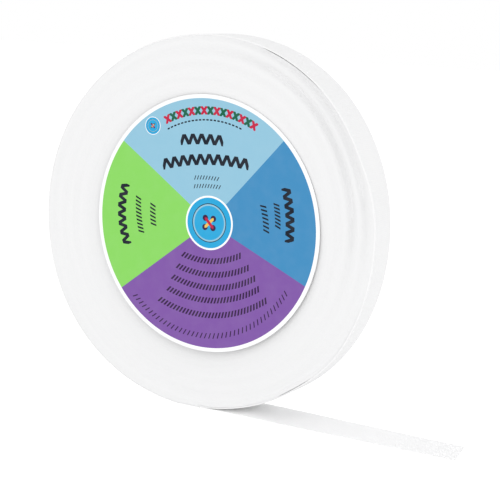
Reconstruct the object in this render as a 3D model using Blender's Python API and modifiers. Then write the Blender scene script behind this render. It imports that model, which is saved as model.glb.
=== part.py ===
"""A flat round roll of knit elastic, standing on its rim with a card label and a loose end.

Metres, +Z up. The roll's axis lies along Y and its labelled face looks along -Y. The loose end
leaves the underside of the roll and runs along +X.
"""

import math

import bmesh
import bpy
from mathutils import Matrix

# The band and the roll wound from it
BAND_WIDTH = 0.0254
BAND_THICKNESS = 0.001
ROLL_RADIUS = 0.112
ROLL_STEPS = 144
EDGE_ROUNDING = 0.0006
EDGE_STEPS = 3
SAG = 0.0004                    # how far the roll's own weight flattens its underside
SEAM_X = 0.0034                 # where the outermost turn leaves the roll
SEAM_SLIVER = math.radians(0.1)
GAP = 0.0003                    # between pieces that touch on the real roll

# The soft roll is a little out of round. Each swell has its number of crests round the rim, its
# height, and the angle of one crest from +X, anticlockwise as seen from the front.
SWELLS = (
    (2, 0.00145, math.radians(38.6)),
    (3, 0.00046, math.radians(67.5)),
    (4, 0.00060, math.radians(44.7)),
)

# Low waves in the wound face, where some turns stand a little proud of others
WAVE_START = 0.078
WAVE_PITCH = 0.011
WAVE_DEPTH = 0.0003
WAVE_SAMPLES = 4

# The loose end
END_LENGTH = 0.165              # from the roll's centre line to the middle of the cut
END_SLANT = 0.0022              # the cut's lean: its near corner is this much further out
END_COLUMNS = 48
END_ROWS = 6
LIFT_START = 0.015
LIFT_TOP = 0.038
BACK_LIFT = 0.002               # how high the band's back edge stays near the roll

# The label
LABEL_RADIUS = 0.0754
LABEL_THICKNESS = 0.0008
LABEL_X = 0.0043
LABEL_Z = 0.0013
LABEL_DISH = 0.0008             # its rim stands this much further forward than its middle
LABEL_LEAN = math.radians(0.3)  # its lower edge stands off more than its upper edge
LABEL_SEAT = 0.0007             # from the wound face to the middle of the label's back
LABEL_STEPS = 96
LABEL_RINGS = 6

HALF_WIDTH = BAND_WIDTH / 2

WHITE_ELASTIC = (0.93, 0.93, 0.94)
LABEL_CARD = (0.88, 0.89, 0.92)


def clear_scene():
    """Remove every object in the scene."""
    for item in list(bpy.data.objects):
        bpy.data.objects.remove(item, do_unlink=True)


def make_collection(name):
    """Return a new collection linked to the scene."""
    collection = bpy.data.collections.new(name)
    bpy.context.scene.collection.children.link(collection)
    return collection


def make_material(name, colour, roughness):
    """Return a Principled material that isn't metallic."""
    material = bpy.data.materials.new(name)
    material.use_nodes = True
    shader = material.node_tree.nodes["Principled BSDF"]
    shader.inputs["Base Color"].default_value = (*colour, 1.0)
    shader.inputs["Roughness"].default_value = roughness
    shader.inputs["Metallic"].default_value = 0.0
    return material


def outline_radius(angle):
    """Return the distance from the roll's axis to its rim, in the direction of an angle."""
    swells = (height * math.cos(crests * (angle - crest)) for crests, height, crest in SWELLS)
    return ROLL_RADIUS + sum(swells)


def centre_height():
    """Return the height of the roll's axis above the surface it stands on."""
    return outline_radius(-math.pi / 2) - SAG


def smoothstep(value):
    """Ease from 0 to 1 as the value goes from 0 to 1."""
    clipped = min(max(value, 0.0), 1.0)
    return clipped * clipped * (3 - 2 * clipped)


def add_object(name, mesh, material, collection):
    """Put a mesh in the collection as a named object with its own material."""
    item = bpy.data.objects.new(name, mesh)
    mesh.materials.append(material)
    collection.objects.link(item)
    return item


def shade(mesh):
    """Shade round surfaces smooth and keep corners crisp."""
    mesh.shade_smooth()
    mesh.set_sharp_from_angle(angle=math.radians(40))


def turned_object(name, profile, steps, material, collection):
    """Turn a (radius, height) profile, listed from its top pole to its bottom pole, about Z."""
    mesh = bpy.data.meshes.new(name)
    points = [(radius, 0.0, height) for radius, height in profile]
    edges = [(index, index + 1) for index in range(len(points) - 1)]
    mesh.from_pydata(points, edges, [])
    item = add_object(name, mesh, material, collection)
    screw = item.modifiers.new("Turn", "SCREW")
    screw.axis = "Z"
    screw.angle = 2 * math.pi
    screw.steps = steps
    screw.render_steps = steps
    screw.use_merge_vertices = True
    screw.merge_threshold = 0.00005
    screw.use_smooth_shade = True
    return item


def applied_mesh(item):
    """Return a new mesh of the object with its modifiers applied."""
    graph = bpy.context.evaluated_depsgraph_get()
    return bpy.data.meshes.new_from_object(item.evaluated_get(graph))


def roll_profile():
    """List the roll's half section: front face, rounded rim corners, back face."""
    wave_samples = int((ROLL_RADIUS - WAVE_START) / WAVE_PITCH * WAVE_SAMPLES)
    front = [(0.0, HALF_WIDTH), (WAVE_START / 2, HALF_WIDTH)]
    for sample in range(wave_samples + 1):
        front.append((WAVE_START + sample * WAVE_PITCH / WAVE_SAMPLES, HALF_WIDTH))
    corner = []
    for step in range(EDGE_STEPS + 1):
        angle = math.pi / 2 * (1 - step / EDGE_STEPS)
        radius = ROLL_RADIUS - EDGE_ROUNDING * (1 - math.cos(angle))
        corner.append((radius, HALF_WIDTH - EDGE_ROUNDING * (1 - math.sin(angle))))
    lower = [(radius, -height) for radius, height in reversed(corner)]
    back = [(WAVE_START, -HALF_WIDTH), (0.0, -HALF_WIDTH)]
    return front + corner + lower + back


def wave_depth(radius, angle):
    """Return how far the wound face lies below its highest turns, strongest at the upper right."""
    if radius < WAVE_START or radius > ROLL_RADIUS - WAVE_PITCH / WAVE_SAMPLES:
        return 0.0
    swell = 0.5 - 0.5 * math.cos(2 * math.pi * (radius - WAVE_START) / WAVE_PITCH)
    facing = 0.55 + 0.45 * math.cos(angle - math.radians(40))
    return WAVE_DEPTH * swell * facing


def wind(mesh):
    """Ease the circle into the band's soft spiral outline and flatten it where it stands.

    Going clockwise from the seam the outline falls by one band thickness in a whole turn. Just
    short of the seam it rests on the loose end, and past it on the surface.
    """
    seam_angle = -math.acos(SEAM_X / ROLL_RADIUS)
    column_angle = 2 * math.pi / ROLL_STEPS
    mesh.transform(Matrix.Rotation(seam_angle, 4, "Z"))
    for vertex in mesh.vertices:
        x, y, z = vertex.co
        radius = math.hypot(x, y)
        column = round((seam_angle - math.atan2(y, x)) / column_angle) % ROLL_STEPS
        angle = seam_angle - column * column_angle
        if column == ROLL_STEPS - 1:
            angle = seam_angle + SEAM_SLIVER
        fall = BAND_THICKNESS * column / (ROLL_STEPS - 1)
        if z > HALF_WIDTH - EDGE_ROUNDING / 2:
            z -= wave_depth(radius, angle)
        radius *= (outline_radius(angle) - fall) / ROLL_RADIUS
        lowest = -centre_height()
        if column > ROLL_STEPS / 2:
            lowest += BAND_THICKNESS + GAP
        vertex.co = (radius * math.cos(angle), max(radius * math.sin(angle), lowest), z)


def make_wound_roll(collection):
    """Build the wound roll as one solid, face forward and standing on its flat spot."""
    material = make_material("white_elastic", WHITE_ELASTIC, 0.75)
    item = turned_object("wound_roll", roll_profile(), ROLL_STEPS, material, collection)
    mesh = applied_mesh(item)
    item.modifiers.clear()
    item.data = mesh
    wind(mesh)
    shade(mesh)
    item.rotation_euler = (math.pi / 2, 0.0, 0.0)
    item.location = (0.0, 0.0, centre_height())
    return item


def lift_at(along, across):
    """Return the height of the loose end's underside at a place along and across the band."""
    rise = smoothstep((along - LIFT_START) / (LIFT_TOP - LIFT_START))
    fall = min((END_LENGTH - along) / (END_LENGTH - LIFT_TOP), 1.0)
    return BACK_LIFT * rise * max(fall, 0.0) * across


def make_loose_end(collection):
    """Build the free end of the band, lying on the surface with its back edge a little raised."""
    start = SEAM_X + GAP
    mesh = bpy.data.meshes.new("loose_end")
    sheet = bmesh.new()
    bmesh.ops.create_grid(sheet, x_segments=END_COLUMNS, y_segments=END_ROWS, size=0.5)
    for vertex in sheet.verts:
        share = vertex.co.x + 0.5
        side = vertex.co.y * 2
        cut = END_LENGTH - END_SLANT * side
        along = start + (cut - start) * share
        vertex.co = (along, HALF_WIDTH * side, lift_at(along, (1 + side) / 2))
    sheet.to_mesh(mesh)
    sheet.free()
    material = make_material("white_elastic_end", WHITE_ELASTIC, 0.75)
    item = add_object("loose_end", mesh, material, collection)
    solid = item.modifiers.new("Band", "SOLIDIFY")
    solid.thickness = BAND_THICKNESS
    solid.offset = 1.0
    return item


def label_profile():
    """List the label's half section: dished front, square rim, dished back."""
    back = []
    for ring in range(LABEL_RINGS + 1):
        share = ring / LABEL_RINGS
        back.append((LABEL_RADIUS * share, LABEL_DISH * share * share))
    front = [(radius, height + LABEL_THICKNESS) for radius, height in back]
    return front + list(reversed(back))


def make_label_card(collection):
    """Build the round card label in front of the wound face."""
    material = make_material("label_card", LABEL_CARD, 0.5)
    item = turned_object("label_card", label_profile(), LABEL_STEPS, material, collection)
    item.rotation_euler = (math.pi / 2 - LABEL_LEAN, 0.0, 0.0)
    item.location = (LABEL_X, -HALF_WIDTH - LABEL_SEAT, centre_height() + LABEL_Z)
    return item


def main():
    """Build the roll of elastic."""
    clear_scene()
    collection = make_collection("roll_of_elastic")
    make_wound_roll(collection)
    make_loose_end(collection)
    make_label_card(collection)


main()
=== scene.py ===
"""The looks of a flat round roll of white knit elastic with a card label and a loose end.

Metres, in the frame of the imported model: the roll stands on its rim at the origin, its axis lies
along Y, its labelled face looks along -Y, and the loose end runs along +X.
"""

import logging
import math
from collections.abc import Iterator
from contextlib import contextmanager
from dataclasses import dataclass
from enum import Enum, IntEnum

import bpy
import numpy as np
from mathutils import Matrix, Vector, noise


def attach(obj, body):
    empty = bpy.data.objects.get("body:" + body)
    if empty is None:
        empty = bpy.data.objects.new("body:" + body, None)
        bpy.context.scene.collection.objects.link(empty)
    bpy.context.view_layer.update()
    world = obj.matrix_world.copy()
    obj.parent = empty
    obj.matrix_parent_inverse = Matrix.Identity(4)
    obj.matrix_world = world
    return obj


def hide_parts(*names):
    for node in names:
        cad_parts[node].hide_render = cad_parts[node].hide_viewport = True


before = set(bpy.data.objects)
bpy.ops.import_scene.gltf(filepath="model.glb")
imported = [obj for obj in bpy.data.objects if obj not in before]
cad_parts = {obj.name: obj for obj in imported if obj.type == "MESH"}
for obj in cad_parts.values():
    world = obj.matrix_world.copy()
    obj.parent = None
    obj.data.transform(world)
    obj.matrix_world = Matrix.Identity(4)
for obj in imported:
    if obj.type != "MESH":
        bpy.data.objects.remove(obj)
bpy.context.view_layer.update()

Point = tuple[float, float, float]
Colour = tuple[float, float, float]
Array = np.ndarray
Material = bpy.types.Material
Piece = bpy.types.Object
Socket = bpy.types.NodeSocket

MM = 0.001
TAU = 2 * math.pi
BAND_WIDTH = 25.4 * MM
HALF_WIDTH = BAND_WIDTH / 2
RIB_COUNT = 19
SAME_PLACE = 1e-6  # metres between two places that count as one
SPIN_GAP = 0.0004  # radians left open between the two ends of a spun section
ALMOST_ONE_TURN = TAU - SPIN_GAP

log = logging.getLogger("roll")


class Slot(Enum):
    """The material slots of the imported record."""

    ELASTIC = "white_elastic"
    CARD = "label_card"


class Side(IntEnum):
    """The two wound faces, by the way along Y that they look."""

    FRONT = -1
    BACK = 1


class Ink(Enum):
    """The colours printed on the label, as linear values."""

    SKY = (0.260, 0.490, 0.625)
    LEAF = (0.227, 0.597, 0.110)
    AZURE = (0.049, 0.237, 0.463)
    VIOLET = (0.193, 0.086, 0.339)
    NAVY = (0.006, 0.010, 0.020)
    PLUM = (0.030, 0.010, 0.050)
    RASPBERRY = (0.480, 0.012, 0.050)
    PINE = (0.004, 0.110, 0.055)
    POND = (0.018, 0.340, 0.620)
    STRAW = (0.780, 0.480, 0.090)
    PAPER = (0.870, 0.875, 0.880)


class Pattern(Enum):
    """The plain stitch patterns that decorate the label."""

    RUNNING = "running"
    SLANT = "slant"
    ZIGZAG = "zigzag"
    CROSS = "cross"


# Modelling helpers


def select_only(piece: Piece) -> None:
    """Select one piece and nothing else.

    Args:
        piece: The object, which becomes the active one.
    """
    bpy.ops.object.select_all(action="DESELECT")
    piece.select_set(True)
    bpy.context.view_layer.objects.active = piece


@contextmanager
def editing() -> Iterator[None]:
    """Work on the active object in edit mode."""
    bpy.ops.object.mode_set(mode="EDIT")
    yield
    bpy.ops.object.mode_set(mode="OBJECT")


def read_points(piece: Piece) -> Array:
    """Read a mesh's vertices.

    Args:
        piece: The mesh object.

    Returns:
        One row of three coordinates for each vertex.
    """
    points = np.zeros(len(piece.data.vertices) * 3)
    piece.data.vertices.foreach_get("co", points)
    return points.reshape(-1, 3)


def write_points(piece: Piece, points: Array) -> None:
    """Move a mesh's vertices to new places, given by one row of three coordinates for each."""
    piece.data.vertices.foreach_set("co", points.ravel())
    piece.data.update()


def face_outward(piece: Piece) -> None:
    """Recalculate a mesh's normals so that they point outwards.

    Args:
        piece: The mesh object.
    """
    select_only(piece)
    with editing():
        bpy.ops.mesh.select_all(action="SELECT")
        bpy.ops.mesh.normals_make_consistent(inside=False)


def shade_round(piece: Piece, corner: float) -> None:
    """Shade a piece smooth but for its corners, of at least an angle in degrees."""
    select_only(piece)
    bpy.ops.object.shade_smooth_by_angle(angle=math.radians(corner))


def apply_modifiers(piece: Piece) -> None:
    """Apply every modifier of a piece, in order.

    Args:
        piece: The mesh object.
    """
    select_only(piece)
    for modifier in list(piece.modifiers):
        bpy.ops.object.modifier_apply(modifier=modifier.name)


def dress(piece: Piece, slot: Slot, *materials: Material) -> None:
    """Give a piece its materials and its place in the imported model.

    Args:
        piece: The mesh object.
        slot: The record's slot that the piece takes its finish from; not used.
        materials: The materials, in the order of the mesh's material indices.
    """
    piece.data.materials.clear()
    for material in materials:
        piece.data.materials.append(material)
    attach(piece, "root")
    log.info("%s: %d faces", piece.name, len(piece.data.polygons))


def store_band_coordinates(piece: Piece, along: Array, across: Array) -> None:
    """Store how far along and across the flat band each vertex lies, in metres, for the knit finish."""
    attribute = piece.data.attributes.new(name="band", type="FLOAT_VECTOR", domain="POINT")
    attribute.data.foreach_set("vector", np.stack([along, across, np.zeros_like(along)], axis=1).ravel())


def ease(value: Array) -> Array:
    """Ease from 0 to 1 as the value goes from 0 to 1."""
    clipped = np.clip(value, 0.0, 1.0)
    return clipped * clipped * (3 - 2 * clipped)


def wander(values: Array, seed: float) -> Array:
    """Return a smooth irregular curve between about -1 and 1.

    Args:
        values: Places along the curve, one bend or so to a unit.
        seed: Picks the curve.

    Returns:
        The curve's height at each place.
    """
    step = 0.25
    off_grid = 0.37
    to_unit_height = 1.6
    span = np.arange(math.floor(values.min()) - 1, math.ceil(values.max()) + 2, step)
    heights = [noise.noise(Vector((float(place), seed, off_grid))) * to_unit_height for place in span]
    return np.interp(values, span, heights)


# Node helpers


class Nodes:
    """Builds one material's nodes, a socket at a time."""

    def __init__(self, name: str) -> None:
        """Start a Principled material.

        Args:
            name: The material's name.
        """
        self.material = bpy.data.materials.new(name)
        self.material.use_nodes = True
        self.tree = self.material.node_tree
        self.shader = self.tree.nodes["Principled BSDF"]

    def put(self, value: object, socket: Socket) -> None:
        """Link a socket, or set a constant.

        Args:
            value: A node socket, a number or a colour.
            socket: The input that takes it.
        """
        if isinstance(value, Socket):
            self.tree.links.new(value, socket)
        elif isinstance(value, tuple) and len(value) == 3 and socket.type == "RGBA":
            socket.default_value = (*value, 1.0)
        else:
            socket.default_value = value

    def add(self, kind: str, *values: object, **settings: object) -> bpy.types.Node:
        """Add a node.

        Args:
            kind: The end of its type's name.
            values: Its inputs, in order, as sockets or constants.
            settings: Its properties, by name.

        Returns:
            The node.
        """
        node = self.tree.nodes.new("ShaderNode" + kind)
        for name, value in settings.items():
            setattr(node, name, value)
        for value, socket in zip(values, node.inputs):
            self.put(value, socket)
        return node

    def math(self, operation: str, *values: object) -> Socket:
        """Return what an operation makes of sockets or numbers."""
        return self.add("Math", *values, operation=operation).outputs[0]

    def plus(self, first: object, second: object) -> Socket:
        """Add two values."""
        return self.math("ADD", first, second)

    def minus(self, first: object, second: object) -> Socket:
        """Take the second value from the first."""
        return self.math("SUBTRACT", first, second)

    def times(self, first: object, second: object) -> Socket:
        """Multiply two values."""
        return self.math("MULTIPLY", first, second)

    def over(self, first: object, second: object) -> Socket:
        """Divide the first value by the second."""
        return self.math("DIVIDE", first, second)

    def length(self, a: object, b: object) -> Socket:
        """Return the length of a two-part distance."""
        return self.math("SQRT", self.plus(self.times(a, a), self.times(b, b)))

    def turned(self, a: object, b: object, angle: float) -> tuple[Socket, Socket]:
        """Return how far a two-part distance goes along the direction of an angle, and to its left."""
        along = self.plus(self.times(a, math.cos(angle)), self.times(b, math.sin(angle)))
        return along, self.minus(self.times(b, math.cos(angle)), self.times(a, math.sin(angle)))

    def vector(self, *values: object) -> Socket:
        """Join two or three values into a vector."""
        return self.add("CombineXYZ", *values).outputs[0]

    def place(self) -> list[Socket]:
        """Return the three object coordinates of the shaded point."""
        return list(self.add("SeparateXYZ", self.add("TexCoord").outputs["Object"]).outputs)

    def band(self) -> list[Socket]:
        """Return the stored band coordinates: along, across and nothing."""
        stored = self.add("Attribute", attribute_name="band").outputs["Vector"]
        return list(self.add("SeparateXYZ", stored).outputs)

    def grain(self, vector: object, scale: float, detail: float = 2.0) -> Socket:
        """Return noise, about 0.5 on average, that is read at a vector."""
        unused = 0.0
        return self.add("TexNoise", vector, unused, scale, detail).outputs["Fac"]

    def mix(self, share: object, first: object, second: object) -> Socket:
        """Mix two colours.

        Args:
            share: How much of the second colour shows, kept from 0 to 1 by the node.
            first: The first colour.
            second: The second colour.

        Returns:
            The mixed colour.
        """
        node = self.add("Mix", share, data_type="RGBA")
        self.put(first, node.inputs[6])
        self.put(second, node.inputs[7])
        return node.outputs[2]

    def bump(self, height: object, distance: float) -> None:
        """Give the shader a bump.

        Args:
            height: The height, from 0 to 1.
            distance: How high 1 is, in metres.
        """
        node = self.add("Bump")
        self.put(height, node.inputs["Height"])
        self.put(distance, node.inputs["Distance"])
        self.tree.links.new(node.outputs["Normal"], self.shader.inputs["Normal"])

    def finished(self, colour: object, **values: object) -> Material:
        """Give the shader its base colour and its constants.

        Args:
            colour: The base colour.
            values: Each constant by its socket's name, with underscores for the spaces.

        Returns:
            The material.
        """
        self.put(colour, self.shader.inputs["Base Color"])
        for name, value in values.items():
            socket = name.replace("_", " ").title().replace("Ior", "IOR")
            self.shader.inputs[socket].default_value = value
        return self.material


# The winding


@dataclass(frozen=True)
class Arc:
    """A stretch of the rim where something comes and goes, in degrees from +X, up to 180 each way.

    It comes over the first part of the arc, the rise, and goes over the last part, the fall.
    """

    start: float
    rise: float
    fall: float
    end: float

    def share(self, angle: Array) -> Array:
        """Return how much of it there is at each angle from +X, from 0 to 1."""
        degrees = np.mod(np.degrees(angle) + 180, 360) - 180
        return ease((degrees - self.start) / self.rise) * ease((self.end - degrees) / self.fall)


@dataclass(frozen=True)
class Furrow:
    """Some turns that lie deeper than the rest, and fade into it over their spread."""

    low: float
    turn: float
    spread: float

    def drop(self, depth: Array, further: Array | float = 0.0) -> Array:
        """Return how low they lie at each depth, where they may be a few turns further in."""
        return self.low * np.exp(-(((depth - self.turn - further) / self.spread) ** 2))


@dataclass(frozen=True)
class Ribs:
    """The lengthwise ribs of the band, and its rounded edges."""

    count: int = RIB_COUNT
    rows_to_a_rib: int = 4
    depth: float = 0.11 * MM
    rounding: float = 0.3 * MM
    rounding_fades_over: float = 0.35 * MM

    @property
    def rows(self) -> int:
        """Rows of faces across the band."""
        return self.count * self.rows_to_a_rib

    def drop(self, y: Array) -> Array:
        """Return how far the ribbed face lies below its highest line, at each place across it."""
        edge = np.exp(-(((HALF_WIDTH - np.abs(y)) / self.rounding_fades_over) ** 2))
        return self.depth * np.cos(math.pi * self.count * (y / BAND_WIDTH + 0.5)) ** 2 + self.rounding * edge


@dataclass(frozen=True)
class Swell:
    """One way in which the soft roll is out of round.

    The angle is that of one crest from +X, anticlockwise as seen from the front.
    """

    crests: int
    height: float
    angle: float


@dataclass(frozen=True)
class Winding:
    """How the band is wound.

    A place in the roll is given by its depth, which is the number of turns that lie outside it,
    and its share of a turn, clockwise from the seam as seen from the front. The depth goes on
    rising along the band, so a turn starts where the last one ends.
    """

    radius: float = 112 * MM
    thickness: float = 0.86 * MM
    seam_x: float = 3.4 * MM
    sag: float = 0.4 * MM
    sag_fades_over: float = 12.0
    flare: float = 2.6 * MM
    flare_arc: Arc = Arc(-55, 22, 24, 30)
    flare_fades_over: float = 14.0
    wobble: float = 0.05 * MM
    wobble_fades_over: float = 20.0
    wobble_waves: tuple[tuple[int, float, float], ...] = ((7, 1.0, 0.6), (11, 0.7, 2.1))
    swells: tuple[Swell, ...] = (
        Swell(2, 1.45 * MM, math.radians(38.6)),
        Swell(3, 0.46 * MM, math.radians(67.5)),
        Swell(4, 0.60 * MM, math.radians(44.7)),
    )

    @property
    def centre_height(self) -> float:
        """Height of the roll's axis above the surface."""
        return self.radius + float(self.swelling(np.array(-math.pi / 2))) - self.sag

    def angles(self, share: Array) -> Array:
        """Return the angle from +X at each share of a turn, from the seam at the roll's foot."""
        return -math.acos(self.seam_x / self.radius) - TAU * share

    def swelling(self, angle: Array) -> Array:
        """Return how far the rim stands out from a circle at each angle, in metres."""
        return sum(swell.height * np.cos(swell.crests * (angle - swell.angle)) for swell in self.swells)

    def flaring(self, depth: Array, angle: Array, y: Array) -> Array:
        """Return how far the loose outer turns stand out near the labelled face, low on the right."""
        fade = (0.5 - y / BAND_WIDTH) * np.exp(-depth / self.flare_fades_over)
        return self.flare * self.flare_arc.share(angle) * fade

    def unevenness(self, depth: Array, share: Array) -> Array:
        """Return how far the turns wander from their even places, in metres."""
        swing = sum(part * np.sin(TAU * share * crests + late) for crests, part, late in self.wobble_waves)
        return self.wobble * swing * np.exp(-depth / self.wobble_fades_over)

    def points(self, depth: Array, share: Array, y: Array) -> Array:
        """Find places in the wound roll.

        Args:
            depth: The depth of each place.
            share: Its share of a turn.
            y: How far along the roll's axis each place is.

        Returns:
            One row of three coordinates for each place.
        """
        angle = self.angles(share)
        even = 1 - self.thickness * depth / self.radius
        radius = (self.radius + self.swelling(angle)) * even + self.unevenness(depth, share)
        radius += self.flaring(depth, angle, y)
        x = radius * np.cos(angle)
        z = self.centre_height + radius * np.sin(angle)
        pressed = self.sag * np.exp(-np.maximum(depth - 1, 0) / self.sag_fades_over)
        lowest = self.thickness * depth - self.sag + pressed
        return np.stack([x, y, np.maximum(z, lowest)], axis=1)

    def unwind(self, points: Array) -> tuple[Array, Array]:
        """Read a spun section's vertices before it is wound.

        Args:
            points: Vertices of a section spun from +X by almost one turn.

        Returns:
            The radius of each vertex, and its share of the spin.
        """
        radius = np.hypot(points[:, 0], points[:, 2] - self.centre_height)
        angle = np.arctan2(points[:, 2] - self.centre_height, points[:, 0])
        past_gap = np.mod(angle - SPIN_GAP / 2, TAU) - SPIN_GAP / 2
        return radius, np.clip(past_gap / ALMOST_ONE_TURN, 0.0, 1.0)


def spin_section(
    name: str, winding: Winding, radii: tuple[float, float], span: tuple[float, float],
    cut_edge: tuple[int, float], cuts: int, columns: int,
) -> Piece:
    """Spin a rectangular section round the roll's axis by almost one turn and cap its two ends.

    Args:
        name: The piece's name.
        winding: The roll.
        radii: The section's inner and outer radius.
        span: Its lowest and highest place along Y.
        cut_edge: The edge that is cut: 0 and its radius, or 1 and its place along Y.
        cuts: The number of cuts in that edge.
        columns: The number of steps in the spin.

    Returns:
        The closed piece, still round.
    """
    inner, outer = radii
    low, high = span
    middle = ((inner + outer) / 2, (low + high) / 2, winding.centre_height)
    bpy.ops.mesh.primitive_plane_add(size=1.0, location=middle)
    piece = bpy.context.object
    piece.name = name
    piece.data.name = name
    piece.scale = (outer - inner, high - low, 1.0)
    bpy.ops.object.transform_apply(location=True, rotation=True, scale=True)
    with editing():
        bpy.ops.mesh.delete(type="ONLY_FACE")
    axis, place = cut_edge
    for vertex in piece.data.vertices:
        vertex.select = abs(vertex.co[axis] - place) < SAME_PLACE
    for edge in piece.data.edges:
        edge.select = all(piece.data.vertices[index].select for index in edge.vertices)
    with editing():
        bpy.ops.mesh.select_mode(type="EDGE")
        bpy.ops.mesh.subdivide(number_cuts=cuts)
        bpy.ops.mesh.select_mode(type="VERT")
        bpy.ops.mesh.select_all(action="SELECT")
        bpy.ops.mesh.spin(
            steps=columns, angle=-ALMOST_ONE_TURN, use_auto_merge=False,
            center=(0.0, 0.0, winding.centre_height), axis=(0.0, 1.0, 0.0),
        )
        bpy.ops.mesh.select_all(action="DESELECT")
        bpy.ops.mesh.select_non_manifold()
        bpy.ops.mesh.fill_holes(sides=0)
    return piece


# Finishes


@dataclass(frozen=True)
class KnitFinish:
    """The band's flat face: lengthwise ribs, each one wale wide, of small slanting stitches.

    Near where the band leaves the roll, the cloth is painted lighter: painted light against the roll's
    shade.
    """

    name: str = "knit_band"
    wale: float = BAND_WIDTH / RIB_COUNT
    course: float = 1.15 * MM
    slant: float = 1.3
    light: Colour = (0.822, 0.822, 0.824)
    shade: Colour = (0.754, 0.755, 0.762)
    # The edge colour paints a line over the outer 1/28 of each half of the band. It is a painted shade line
    # where it is darker than the cloth; here it matches the light colour.
    edge: Colour = (0.822, 0.822, 0.823)
    edge_from: float = 27 / 28
    roughness: float = 0.82
    stitch_height: float = 0.07 * MM
    valley_slope: float = 5.0
    valley_from: float = 0.32
    valley_rounding: float = 0.1
    looseness: float = 0.5
    fibre_scale: float = 1400.0
    fibre_stretch: float = 2.5
    fibre_height: float = 0.35
    drift_scale: float = 60.0
    drift_stretch: float = 0.4
    # Painted shade: how much darker the cloth is where it lies low.
    low_shade: float = 0.38
    drift_shade: float = 0.4
    translucence: float = 0.0
    light_spreads: float = 0.7 * MM
    # Painted light: how far the cloth near the roll's foot turns to a lighter colour, against the roll's
    # shade.
    painted_light: float = 0.9
    painted_light_colour: Colour = (0.96, 0.96, 0.96)
    painted_light_until: float = 55 * MM
    painted_light_fades_over: float = 30 * MM

    def material(self) -> Material:
        """Build the material on the stored band coordinates.

        Returns:
            The material.
        """
        nodes = Nodes(self.name)
        along, across, _ = nodes.band()
        wale = nodes.math("FRACT", nodes.over(across, self.wale))
        from_rib = nodes.math("ABSOLUTE", nodes.minus(wale, 0.5))
        place = nodes.vector(along, nodes.times(across, self.fibre_stretch))
        fibres = nodes.grain(place, self.fibre_scale, detail=3.0)
        loose = nodes.times(nodes.minus(fibres, 0.5), self.looseness)
        phase = nodes.plus(nodes.over(along, self.course), nodes.times(from_rib, self.slant))
        wave = nodes.math("SINE", nodes.times(nodes.plus(phase, loose), TAU))
        stitch = nodes.math("MULTIPLY_ADD", wave, 0.5, 0.5)
        slope = nodes.times(nodes.minus(from_rib, self.valley_from), self.valley_slope)
        valley = nodes.math("SMOOTH_MAX", slope, 0.0, self.valley_rounding)
        raised = nodes.times(stitch, nodes.minus(1.0, nodes.math("MINIMUM", valley, 1.0)))
        nodes.bump(nodes.plus(raised, nodes.times(fibres, self.fibre_height)), self.stitch_height)
        place = nodes.vector(nodes.times(along, self.drift_stretch), across)
        drift = nodes.grain(place, self.drift_scale)
        # Painted shade: the cloth is darker where it lies low, between the stitches and in the valleys
        # between the ribs. The drift adds a random tone of the cloth itself.
        low = nodes.times(nodes.minus(1.0, raised), self.low_shade)
        tone = nodes.plus(low, nodes.times(drift, self.drift_shade))
        body = nodes.mix(tone, self.light, self.shade)
        # Painted light: the cloth turns lighter near where the band leaves the roll at its foot, where the
        # roll's shade falls.
        painted_light = nodes.over(nodes.plus(along, self.painted_light_until), self.painted_light_fades_over)
        painted_light = nodes.times(nodes.math("MINIMUM", painted_light, 1.0), self.painted_light)
        body = nodes.mix(painted_light, body, self.painted_light_colour)
        # Painted shade line along the long edges, where the edge colour is darker than the cloth.
        outward = nodes.over(nodes.math("ABSOLUTE", across), HALF_WIDTH)
        edge = nodes.over(nodes.minus(outward, self.edge_from), 1 - self.edge_from)
        return nodes.finished(
            nodes.mix(edge, body, self.edge),
            roughness=self.roughness, sheen_weight=0.15, sheen_roughness=0.5, specular_ior_level=0.25,
            subsurface_weight=self.translucence, subsurface_scale=self.light_spreads,
            subsurface_radius=(1.0, 1.0, 1.0),
        )


@dataclass(frozen=True)
class TurnEdgeFinish:
    """The wound faces: the looped edges of the turns, with a faint tone from turn to turn."""

    winding: Winding
    loop: float = 1.15 * MM
    loops_across: float = 0.9
    loop_height: float = 0.10 * MM
    fibre: float = 0.22
    fibres_across: float = 3.0
    fibre_height: float = 0.35
    laps_round: float = 0.9
    laps_across: float = 0.35
    light: Colour = (0.794, 0.794, 0.796)
    shade: Colour = (0.722, 0.723, 0.730)
    # Painted shade: how much darker the cloth is where the loops lie low.
    low_shade: float = 0.45
    lap_shade: float = 0.35
    roughness: float = 0.85

    def material(self) -> Material:
        """Build the material on object coordinates, turned into radius and angle.

        Returns:
            The material.
        """
        nodes = Nodes("turn_edges")
        x, _, z = nodes.place()
        rise = nodes.minus(z, self.winding.centre_height)
        radius = nodes.length(x, rise)
        angle = nodes.math("ARCTAN2", x, rise)
        loop = nodes.over(nodes.times(angle, radius), self.loop)
        turn = nodes.minus(nodes.over(radius, self.winding.thickness), nodes.over(angle, TAU))
        loops = nodes.grain(nodes.vector(loop, nodes.times(turn, self.loops_across)), 1.0)
        fibre = nodes.over(loop, self.fibre)
        fibres = nodes.grain(nodes.vector(fibre, nodes.times(turn, self.fibres_across)), 1.0)
        nodes.bump(nodes.math("MULTIPLY_ADD", fibres, self.fibre_height, loops), self.loop_height)
        place = nodes.vector(nodes.times(angle, self.laps_round), nodes.times(turn, self.laps_across))
        lap = nodes.grain(place, 1.0, detail=1.0)
        # Painted shade: darker where the loops lie low. The lap tone is the cloth's own, from turn to turn.
        low = nodes.times(nodes.minus(1.0, loops), self.low_shade)
        tone = nodes.plus(low, nodes.times(lap, self.lap_shade))
        return nodes.finished(
            nodes.mix(tone, self.light, self.shade),
            roughness=self.roughness, sheen_weight=0.15, sheen_roughness=0.5, specular_ior_level=0.2,
        )


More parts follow.
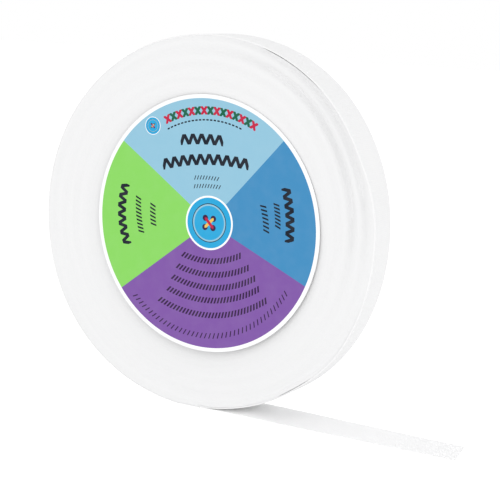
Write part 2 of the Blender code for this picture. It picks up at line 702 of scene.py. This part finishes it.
@dataclass(frozen=True)
class CardFinish:
    """Plain grey board, for the label's back."""

    light: Colour = (0.24, 0.23, 0.22)
    shade: Colour = (0.15, 0.14, 0.13)
    pulp_scale: float = 900.0
    pulp_height: float = 0.03 * MM
    speck_scale: float = 3500.0

    def material(self) -> Material:
        """Build the material from a fine pulp grain.

        Returns:
            The material.
        """
        nodes = Nodes("plain_card")
        place = nodes.vector(*nodes.place())
        pulp = nodes.grain(place, self.pulp_scale, detail=4.0)
        specks = nodes.grain(place, self.speck_scale, detail=1.0)
        nodes.bump(pulp, self.pulp_height)
        colour = nodes.mix(nodes.times(pulp, specks), self.light, self.shade)
        return nodes.finished(colour, roughness=0.8, specular_ior_level=0.3)


@dataclass(frozen=True)
class CardOutline:
    """The label's outline, a circle that is a little longer one way, in millimetres."""

    radius: float = 75.0
    stretch: float = 0.6
    stretch_angle: float = math.radians(124.5)

    def stretched(self, angle: Array) -> Array:
        """Return the label's radius at each angle from +X."""
        return self.radius + self.stretch * np.cos(2 * (angle - self.stretch_angle))

    def from_rim(self, nodes: Nodes, a: object, b: object) -> Socket:
        """Measure how far a point of the print lies inside the rim.

        Args:
            nodes: The material's nodes.
            a: Millimetres to the right of the card's middle.
            b: Millimetres above it.

        Returns:
            The distance, in millimetres.
        """
        angle = nodes.minus(nodes.math("ARCTAN2", b, a), self.stretch_angle)
        wave = nodes.math("COSINE", nodes.times(angle, 2.0))
        rim = nodes.math("MULTIPLY_ADD", wave, self.stretch, self.radius)
        return nodes.minus(rim, nodes.length(a, b))


@dataclass(frozen=True)
class StitchRow:
    """One curved row of printed stitches.

    Sizes are in millimetres on the label, from the middle of its print. A positive bend has its
    centre below the row, when the row reads from left to right.
    """

    middle: tuple[float, float]
    heading: float
    length: float
    bend: float
    pattern: Pattern
    count: int
    tall: float
    stroke: float
    ink: Ink = Ink.NAVY
    second_ink: Ink | None = None
    slant: float = 0.45
    dash: float = 0.72
    cross: float = 0.84

    @property
    def pitch(self) -> float:
        """Length of the row that each stitch takes."""
        return self.length / self.count

    def printed(self, nodes: Nodes, colour: object, u: object, v: object) -> Socket:
        """Print the row.

        Args:
            nodes: The material's nodes.
            colour: The colour under it.
            u: Millimetres right of the print's middle.
            v: Millimetres above it.

        Returns:
            The colour with the row on it.
        """
        heading = math.radians(self.heading)
        sign = math.copysign(1.0, self.bend)
        side = nodes.minus(u, self.middle[0] + self.bend * math.sin(heading))
        rise = nodes.minus(v, self.middle[1] - self.bend * math.cos(heading))
        ahead, aside = nodes.turned(side, rise, heading + sign * math.pi / 2)
        along = nodes.times(nodes.math("ARCTAN2", aside, ahead), -self.bend)
        across = nodes.times(nodes.minus(nodes.length(side, rise), abs(self.bend)), sign)
        if self.pattern is Pattern.SLANT:
            along = nodes.math("MULTIPLY_ADD", across, -self.slant, along)
        from_start = nodes.plus(along, self.length / 2)
        foot = 0.0 if self.pattern is Pattern.ZIGZAG else self.pitch / 2
        step = nodes.math("PINGPONG", nodes.minus(from_start, foot), self.pitch / 2)
        inside = nodes.math("COMPARE", along, 0.0, self.length / 2)
        mask = nodes.times(self.mask(nodes, step, across), inside)
        ink = self.ink.value
        if self.second_ink:
            pair = nodes.math("FRACT", nodes.over(from_start, 2 * self.pitch))
            ink = nodes.mix(nodes.math("GREATER_THAN", pair, 0.5), ink, self.second_ink.value)
        return nodes.mix(mask, colour, ink)

    def mask(self, nodes: Nodes, step: object, across: object) -> Socket:
        """Draw one stitch, which the row repeats.

        Args:
            nodes: The material's nodes.
            step: Distance along the row from the stitch's middle, or from its foot in a zigzag.
            across: Distance from the row's middle line.

        Returns:
            1 on the stitch and 0 beside it.
        """
        if self.pattern is Pattern.RUNNING:
            solid = (self.dash * self.pitch - self.stroke) / 2
            past = nodes.math("MAXIMUM", nodes.minus(step, solid), 0.0)
            return nodes.math("LESS_THAN", nodes.length(past, across), self.stroke / 2)
        if self.pattern is Pattern.SLANT:
            lean, off = 0.0, step
        elif self.pattern is Pattern.ZIGZAG:
            lean = self.tall / (self.pitch / 2)
            off = nodes.minus(across, nodes.math("MULTIPLY_ADD", step, lean, -self.tall / 2))
        else:
            lean = self.tall / (self.pitch * self.cross)
            off = nodes.math("MULTIPLY_ADD", step, -lean, nodes.math("ABSOLUTE", across))
        line = nodes.math("COMPARE", off, 0.0, self.stroke / 2 * math.hypot(1.0, lean))
        return nodes.times(line, nodes.math("COMPARE", across, 0.0, self.tall / 2))


@dataclass(frozen=True)
class Button:
    """A printed sewing button, sewn on with crossed thread, in a white ring.

    Its middle and radius are in millimetres, and its other sizes are shares of the radius.
    """

    middle: tuple[float, float]
    radius: float
    rings: tuple[tuple[float, Ink], ...] = (
        (1.0, Ink.PAPER), (0.93, Ink.POND), (0.72, Ink.NAVY), (0.69, Ink.SKY), (0.63, Ink.POND),
    )
    threads: tuple[tuple[float, Ink], ...] = ((45.0, Ink.STRAW), (-45.0, Ink.RASPBERRY))
    hole: float = 0.115
    hole_place: float = 0.17
    thread: float = 0.055
    thread_end: float = 0.1904

    def printed(self, nodes: Nodes, colour: object, u: object, v: object) -> Socket:
        """Print the button.

        Args:
            nodes: The material's nodes.
            colour: The colour under it.
            u: Millimetres right of the print's middle.
            v: Millimetres above it.

        Returns:
            The colour with the button on it.
        """
        side = nodes.over(nodes.minus(u, self.middle[0]), self.radius)
        rise = nodes.over(nodes.minus(v, self.middle[1]), self.radius)
        away = nodes.length(side, rise)
        for share, ink in self.rings:
            colour = nodes.mix(nodes.math("LESS_THAN", away, share), colour, ink.value)
        across = nodes.math("ABSOLUTE", side)
        up = nodes.math("ABSOLUTE", rise)
        to_hole = nodes.length(nodes.minus(across, self.hole_place), nodes.minus(up, self.hole_place))
        colour = nodes.mix(nodes.math("LESS_THAN", to_hole, self.hole), colour, Ink.PLUM.value)
        near = nodes.math("LESS_THAN", nodes.math("MAXIMUM", across, up), self.thread_end)
        for heading, ink in self.threads:
            _, off = nodes.turned(side, rise, math.radians(heading))
            strand = nodes.math("COMPARE", off, 0.0, self.thread)
            colour = nodes.mix(nodes.times(strand, near), colour, ink.value)
        return colour


@dataclass(frozen=True)
class LabelPrint:
    """The label's printed front: four coloured fields, two buttons and rows of stitches.

    Sizes are in millimetres. The fields' ends are in degrees, anticlockwise from the right.
    """

    card_centre: Point
    outline: CardOutline
    rows: tuple[StitchRow, ...]
    buttons: tuple[Button, ...] = (Button((0.0, 0.0), 15.9), Button((-40.8, 53.4), 5.3))
    print_shift: tuple[float, float] = (2.47, 0.89)
    border: float = 2.3
    field_ends: tuple[float, ...] = (46.9, 144.1, 217.4, 335.6)
    field_inks: tuple[Ink, ...] = (Ink.AZURE, Ink.SKY, Ink.LEAF, Ink.VIOLET, Ink.AZURE)
    tooth_scale: float = 4.0
    tooth_height: float = 0.012 * MM
    mottle_scale: float = 0.12
    worn_from: float = 0.4
    worn: float = 0.05

    def material(self) -> Material:
        """Build the print from object coordinates, measured in millimetres from its middle.

        Returns:
            The material.
        """
        nodes = Nodes("label_print")
        x, _, z = nodes.place()
        across = nodes.over(nodes.minus(x, self.card_centre[0]), MM)
        up = nodes.over(nodes.minus(z, self.card_centre[2]), MM)
        u = nodes.minus(across, self.print_shift[0])
        v = nodes.minus(up, self.print_shift[1])
        colour = self.fields(nodes, u, v)
        for mark in (*self.rows, *self.buttons):
            colour = mark.printed(nodes, colour, u, v)
        border = nodes.math("LESS_THAN", self.outline.from_rim(nodes, across, up), self.border)
        colour = nodes.mix(border, colour, Ink.PAPER.value)
        place = nodes.vector(across, up)
        mottle = nodes.grain(place, self.mottle_scale)
        worn = nodes.times(nodes.minus(mottle, self.worn_from), self.worn)
        colour = nodes.mix(worn, colour, Ink.PAPER.value)
        nodes.bump(nodes.grain(place, self.tooth_scale, detail=3.0), self.tooth_height)
        return nodes.finished(colour, roughness=0.45, specular_ior_level=0.15)

    def fields(self, nodes: Nodes, u: object, v: object) -> Socket:
        """Print the four fields, which meet at the print's middle.

        Args:
            nodes: The material's nodes.
            u: Millimetres right of the print's middle.
            v: Millimetres above it.

        Returns:
            The colour.
        """
        turn = nodes.over(nodes.math("ARCTAN2", v, u), TAU)
        ramp = nodes.add("ValToRGB", nodes.math("FRACT", turn))
        ramp.color_ramp.interpolation = "CONSTANT"
        stops = ramp.color_ramp.elements
        stops.remove(stops[1])
        stops[0].color = (*self.field_inks[0].value, 1.0)
        for end, ink in zip(self.field_ends, self.field_inks[1:]):
            stops.new(end / 360).color = (*ink.value, 1.0)
        return ramp.outputs["Color"]


@dataclass(frozen=True)
class FloorFinish:
    """A plain bright studio floor, lit from below."""

    colour: Colour = (0.32, 0.32, 0.32)
    shade: Colour = (0.3, 0.3, 0.3)
    drift_scale: float = 3.0
    drift: float = 0.1
    glow: float = 0.88

    def material(self) -> Material:
        """Build the material.

        Returns:
            The material.
        """
        nodes = Nodes("studio_floor")
        drift = nodes.grain(nodes.vector(*nodes.place()), self.drift_scale)
        colour = nodes.mix(nodes.times(drift, self.drift), self.colour, self.shade)
        return nodes.finished(colour, roughness=0.9, specular_ior_level=0.1, emission_strength=self.glow)


# Sub-assemblies


@dataclass
class WoundFaces:
    """The two wound faces, each made of an outer and an inner ring of turns.

    The front face has loose turns that stand proud round the loose angle, with furrows between
    them, and low on the right a fold that runs further in by its drift. The turns are drawn in
    from under the outermost one by the seat, and by more in the clefts.
    """

    winding: Winding
    finish: TurnEdgeFinish
    rows_to_a_turn: int = 4
    ridge: float = 0.12 * MM
    uneven: float = 0.12 * MM
    bends_to_a_turn: float = 0.8
    face_shift: float = 40.0
    slow_bends_to_a_turn: float = 0.14
    slow_face_shift: float = 20.0
    slow_start: float = 1.2
    slow_lean: float = 0.06
    loose_ridge: float = 0.42 * MM
    loose_angle: float = math.radians(36)
    loose_turn: float = 11.0
    loose_drift: float = 4.0
    loose_spread: float = 9.0
    furrows: tuple[Furrow, ...] = (Furrow(0.2 * MM, 4.3, 0.8), Furrow(0.2 * MM, 10.2, 1.3))
    fold: Furrow = Furrow(0.45 * MM, 1.9, 0.8)
    fold_angle: float = math.radians(-40)
    fold_drift: float = 3.0
    fold_drift_arc: Arc = Arc(-170, 10, 20, -32)
    seat: float = 0.03 * MM
    clefts: tuple[tuple[float, Arc], ...] = (
        (0.42 * MM, Arc(44, 10, 6, 72)), (0.252 * MM, Arc(-60, 4, 7, -44)),
    )
    cleft_fades_over: float = 1.6

    def build(self) -> None:
        """Build and dress the four rings of turns."""
        material = self.finish.material()
        pieces = [
            self.ring("front_outer_turns", 1, 49, Side.FRONT, 320),
            self.ring("front_inner_turns", 49, 128, Side.FRONT, 120),
            self.ring("back_outer_turns", 1, 61, Side.BACK, 320),
            self.ring("back_inner_turns", 61, 128, Side.BACK, 150),
        ]
        for piece in pieces:
            dress(piece, Slot.ELASTIC, material)
        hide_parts("wound_roll")

    def ring(self, name: str, first: int, last: int, side: Side, columns: int) -> Piece:
        """Build one ring of turns on one face.

        Args:
            name: The piece's name.
            first: How many turns lie outside it.
            last: How many turns lie outside its inner edge.
            side: The face.
            columns: The number of steps round the roll.

        Returns:
            The closed ring.
        """
        winding = self.winding
        outer = winding.radius - winding.thickness * first
        inner = winding.radius - winding.thickness * last
        face = side * HALF_WIDTH
        span = (min(face, 0.0), max(face, 0.0))
        cuts = (last - first) * self.rows_to_a_turn - 1
        piece = spin_section(name, winding, (inner, outer), span, (1, face), cuts, columns)
        points = read_points(piece)
        radius, share = winding.unwind(points)
        depth = (winding.radius - radius) / winding.thickness + share
        on_face = np.abs(points[:, 1] - face) < SAME_PLACE
        y = points[:, 1] - on_face * side * self.relief(depth, share, side)
        inward = self.drawn_in(depth, share) / winding.thickness
        write_points(piece, winding.points(depth + inward, share, y))
        face_outward(piece)
        shade_round(piece, corner=75.0)
        return piece

    def relief(self, depth: Array, share: Array, side: Side) -> Array:
        """Find how far the face lies below its highest turns.

        Args:
            depth: The depth of each place.
            share: Its share of a turn.
            side: The face.

        Returns:
            The drop at each place, in metres.
        """
        groove = 0.5 + 0.5 * np.cos(TAU * depth)
        quick = wander(depth * self.bends_to_a_turn + side * self.face_shift, seed=3.1)
        slow = wander(depth * self.slow_bends_to_a_turn + side * self.slow_face_shift, seed=7.7)
        slow *= np.cos(TAU * share - self.slow_start + depth * self.slow_lean)
        angle = self.winding.angles(share)
        swing = angle - self.loose_angle
        middle = self.loose_turn - self.loose_drift * np.sin(swing)
        loose = np.maximum(np.cos(swing), 0.0) ** 5 * np.exp(-(((depth - middle) / self.loose_spread) ** 4))
        uneven = self.uneven * (0.35 + 0.65 * loose) * (0.5 + 0.35 * quick + 0.4 * slow)
        sunk = sum(furrow.drop(depth) for furrow in self.furrows)
        streak = (sunk + self.loose_ridge * groove) * loose
        further = self.fold_drift * self.fold_drift_arc.share(angle)
        streak += np.maximum(np.cos(angle - self.fold_angle), 0.0) ** 6 * self.fold.drop(depth, further)
        streak *= side is Side.FRONT
        return self.ridge * groove + uneven + streak

    def drawn_in(self, depth: Array, share: Array) -> Array:
        """Return how far the turns are drawn in from under the outermost one, in metres."""
        amount = self.seat + sum(low * arc.share(self.winding.angles(share)) for low, arc in self.clefts)
        return amount * np.exp(-np.maximum(depth - share - 1, 0) / self.cleft_fades_over)


@dataclass
class OuterTurn:
    """The outermost turn of the band, whose ribbed face is the roll's rim."""

    winding: Winding
    finish: Material
    ribs: Ribs = Ribs()
    columns: int = 480
    sway: float = 0.12 * MM
    sways: float = 9.0

    def build(self) -> None:
        """Build and dress the turn."""
        winding = self.winding
        outer = winding.radius
        radii = (outer - winding.thickness, outer)
        span = (-HALF_WIDTH, HALF_WIDTH)
        cut, cuts = (0, outer), self.ribs.rows - 1
        piece = spin_section("outer_turn", winding, radii, span, cut, cuts, self.columns)
        points = read_points(piece)
        radius, share = winding.unwind(points)
        into = (outer - radius) / winding.thickness
        y = points[:, 1]
        depth = into + share + (into < 0.5) * self.ribs.drop(y) / winding.thickness
        sway = self.sway * wander(share * self.sways, seed=5.3)
        write_points(piece, winding.points(depth, share, y + sway))
        store_band_coordinates(piece, (share - 1) * TAU * outer, y)
        face_outward(piece)
        shade_round(piece, corner=60.0)
        dress(piece, Slot.ELASTIC, self.finish)


@dataclass
class LooseEnd:
    """The band's free end, which lies along the surface with its back edge a little raised."""

    winding: Winding
    finish: Material
    length: float = 165 * MM
    slant: float = 2.2 * MM
    lift_start: float = 15 * MM
    lift_top: float = 38 * MM
    back_lift: float = 2.0 * MM
    ribs: Ribs = Ribs()
    columns: int = 130
    seam_gap: float = 0.01 * MM
    ripple: float = 0.12 * MM
    ripple_pitch: float = 14 * MM
    ripple_start: float = 50 * MM
    ripple_rise: float = 30 * MM

    def build(self) -> None:
        """Build and dress the loose end as a thin cloth solid."""
        columns, rows = self.columns, self.ribs.rows
        bpy.ops.mesh.primitive_grid_add(x_subdivisions=columns, y_subdivisions=rows, size=1.0)
        piece = bpy.context.object
        piece.name = "loose_band"
        piece.data.name = "loose_band"
        solid = piece.modifiers.new("Thickness", "SOLIDIFY")
        solid.thickness = self.winding.thickness
        solid.offset = 0.0
        apply_modifiers(piece)
        self.lay(piece)
        face_outward(piece)
        shade_round(piece, corner=60.0)
        dress(piece, Slot.ELASTIC, self.finish)
        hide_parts("loose_end")

    def lay(self, piece: Piece) -> None:
        """Shape the flat sheet into the ribbed band, laid along the surface.

        Args:
            piece: A sheet one unit long and wide, of the band's thickness.
        """
        winding = self.winding
        points = read_points(piece)
        share = points[:, 0] + 0.5
        side = points[:, 1] * 2
        start = winding.seam_x + self.seam_gap
        cut = self.length - self.slant * side
        along = start + (cut - start) * share
        y = HALF_WIDTH * side
        rise = ease((along - self.lift_start) / (self.lift_top - self.lift_start))
        fall = np.clip((self.length - along) / (self.length - self.lift_top), 0.0, 1.0)
        lift = self.back_lift * rise * fall * (1 + side) / 2
        drop = self.ribs.drop(y)
        height = np.where(points[:, 2] > 0, winding.thickness - drop, drop)
        ripple = self.ripple * wander(along / self.ripple_pitch, seed=2.4)
        ripple *= ease((along - self.ripple_start) / self.ripple_rise)
        z = height + lift + np.maximum(ripple, 0.0)
        write_points(piece, np.stack([along, y, z], axis=1))
        store_band_coordinates(piece, -along, y)


@dataclass
class CardLabel:
    """The round card label, dished a little and leaning off the wound face."""

    winding: Winding
    rows: tuple[StitchRow, ...]
    outline: CardOutline = CardOutline()
    thickness: float = 0.5 * MM
    edge_rounding: float = 0.08 * MM
    x: float = 4.85 * MM
    z: float = 1.48 * MM
    dish: float = 1.15 * MM
    lean: float = math.radians(1.30)
    turn: float = math.radians(0.84)
    curl: float = 0.21 * MM
    curl_angle: float = math.radians(57.0)
    seat: float = 0.81 * MM
    rings: int = 14
    points_round: int = 160

    def build(self) -> None:
        """Build and dress the label."""
        radius = self.outline.radius * MM
        bpy.ops.mesh.primitive_circle_add(vertices=self.points_round, radius=radius, fill_type="NOTHING")
        piece = bpy.context.object
        piece.name = "round_label"
        piece.data.name = "round_label"
        with editing():
            bpy.ops.mesh.select_all(action="SELECT")
            for ring in range(self.rings - 1, 0, -1):
                bpy.ops.mesh.extrude_edges_move()
                shrink = ring / (ring + 1)
                bpy.ops.transform.resize(value=(shrink, shrink, 1.0))
            bpy.ops.mesh.extrude_edges_move()
            bpy.ops.mesh.merge(type="CENTER")
        self.dish_card(piece)
        face_outward(piece)
        solid = piece.modifiers.new("Card", "SOLIDIFY")
        solid.thickness = self.thickness
        solid.offset = -1.0
        solid.material_offset = 1
        edge = piece.modifiers.new("Edge", "BEVEL")
        edge.width = self.edge_rounding
        edge.segments = 2
        edge.limit_method = "ANGLE"
        centre = (self.x, 0.0, self.winding.centre_height + self.z)
        front = LabelPrint(centre, self.outline, self.rows).material()
        dress(piece, Slot.CARD, front, CardFinish().material())
        apply_modifiers(piece)
        shade_round(piece, corner=50.0)
        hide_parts("label_card")

    def dish_card(self, piece: Piece) -> None:
        """Stand the flat disc up in front of the roll, dished and leaning.

        Args:
            piece: A flat disc that faces +Z.
        """
        points = read_points(piece)
        angle = np.arctan2(points[:, 1], points[:, 0])
        away = np.hypot(points[:, 0], points[:, 1]) / (self.outline.radius * MM)
        warp = self.curl * away**2 * np.cos(2 * (angle - self.curl_angle))
        stretch = self.outline.stretched(angle) / self.outline.radius
        right = points[:, 0] * stretch
        up = points[:, 1] * stretch
        forward = self.dish * away**2 + warp + self.thickness + self.seat
        forward -= up * math.sin(self.lean) + right * math.sin(self.turn)
        x = self.x + right
        z = self.winding.centre_height + self.z + up
        write_points(piece, np.stack([x, -HALF_WIDTH - forward, z], axis=1))


@dataclass
class Studio:
    """The floor, the light and the camera."""

    camera_at: Point = (0.42777, -0.69829, 0.24598)
    camera_turn: Point = (79.535, -2.080, 30.216)
    lens: float = 100.8
    sensor: float = 36.0
    floor_size: float = 8.0
    sky: float = 1.0
    lamp: float = 0.50
    lamp_turn: Point = (42.0, 0.0, 30.0)
    lamp_softness: float = 60.0

    def build(self) -> None:
        """Build the studio."""
        self.floor()
        self.light()
        self.camera()

    def floor(self) -> None:
        """Add the floor just under the roll."""
        bpy.ops.mesh.primitive_plane_add(size=self.floor_size, location=(0.0, 0.0, 0.0))
        floor = bpy.context.object
        floor.name = "studio_floor"
        floor.data.materials.append(FloorFinish().material())

    def light(self) -> None:
        """Light the scene from all round, with a soft lamp overhead."""
        world = bpy.data.worlds.new("studio_sky")
        world.use_nodes = True
        sky = world.node_tree.nodes["Background"]
        sky.inputs["Color"].default_value = (1.0, 1.0, 1.0, 1.0)
        sky.inputs["Strength"].default_value = self.sky
        bpy.context.scene.world = world
        bpy.context.scene.view_settings.view_transform = "Standard"
        data = bpy.data.lights.new("soft_lamp", "SUN")
        data.energy = self.lamp
        data.angle = math.radians(self.lamp_softness)
        lamp = bpy.data.objects.new("soft_lamp", data)
        lamp.rotation_euler = tuple(math.radians(value) for value in self.lamp_turn)
        bpy.context.scene.collection.objects.link(lamp)

    def camera(self) -> None:
        """Add the camera at the photograph's angle."""
        data = bpy.data.cameras.new("camera")
        data.lens = self.lens
        data.sensor_width = self.sensor
        camera = bpy.data.objects.new("camera", data)
        camera.location = self.camera_at
        camera.rotation_euler = tuple(math.radians(value) for value in self.camera_turn)
        bpy.context.scene.collection.objects.link(camera)
        bpy.context.scene.camera = camera


def label_rows() -> tuple[StitchRow, ...]:
    """List the label's rows of stitches.

    Returns:
        The rows, from the top field anticlockwise.
    """
    run, slant, zigzag, cross = Pattern.RUNNING, Pattern.SLANT, Pattern.ZIGZAG, Pattern.CROSS
    plum = Ink.PLUM
    rows = (
        ((-1.8, 65.1), 0.5, 64.2, 65.5, cross, 15, 4.8, 1.6, Ink.RASPBERRY, Ink.PINE),
        ((-6.1, 59.5), 4.5, 52.2, 60.4, run, 21, 0.9, 0.9),
        ((-7.1, 48.3), 3.3, 29.3, 122.8, zigzag, 5, 6.2, 2.1),
        ((-4.5, 36.7), 5.0, 59.0, 141.3, zigzag, 10, 6.4, 2.1),
        ((-3.0, 26.2), 2.1, 17.3, 79.8, slant, 9, 2.4, 0.6),
        ((-2.4, 21.4), 3.6, 18.8, 80.0, slant, 10, 2.4, 0.6),
        ((-60.7, -1.1), 94.4, 37.8, 49.3, zigzag, 7, 5.8, 2.0),
        ((-48.7, -0.4), 98.1, 22.4, 66.7, slant, 10, 3.8, 1.1),
        ((-38.9, 0.7), 94.5, 13.7, 60.0, slant, 6, 3.8, 1.1),
        ((52.7, 10.3), -82.7, 31.5, 80.4, zigzag, 6, 5.8, 2.0),
        ((44.9, 9.1), -83.0, 14.7, 70.3, slant, 7, 3.6, 1.1),
        ((37.1, 6.6), -78.9, 16.6, 60.0, slant, 7, 3.8, 1.1),
        ((2.9, -22.2), 5.6, 41.3, -52.0, slant, 19, 3.4, 1.2, plum),
        ((4.2, -30.1), 5.7, 50.6, -62.0, slant, 23, 3.4, 1.2, plum),
        ((5.2, -37.7), 6.3, 58.8, -66.0, slant, 27, 3.4, 1.2, plum),
        ((5.5, -45.2), 7.2, 64.9, -70.0, slant, 30, 3.4, 1.2, plum),
        ((5.6, -54.0), 7.1, 76.9, -75.0, slant, 35, 3.4, 1.2, plum),
        ((5.6, -66.3), 8.4, 120.5, -65.7, slant, 42, 3.2, 0.75, plum),
    )
    return tuple(StitchRow(*row) for row in rows)


def main() -> None:
    """Build the dressed roll and its studio."""
    logging.basicConfig(level=logging.INFO, format="%(message)s")
    winding = Winding()
    # The knit's painted light also lightens the rim low on the right, near the foot.
    knit = KnitFinish().material()
    # The single layer's darker edge colour is a painted shade line along its long edges.
    single_layer = KnitFinish(
        name="knit_single_layer", translucence=1.0, light=(0.835, 0.835, 0.837),
        shade=(0.768, 0.769, 0.776), edge=(0.780, 0.780, 0.784),
    ).material()
    WoundFaces(winding, TurnEdgeFinish(winding)).build()
    OuterTurn(winding, knit).build()
    Studio().build()
    LooseEnd(winding, single_layer).build()
    CardLabel(winding, label_rows()).build()


if __name__ == "__main__":
    main()
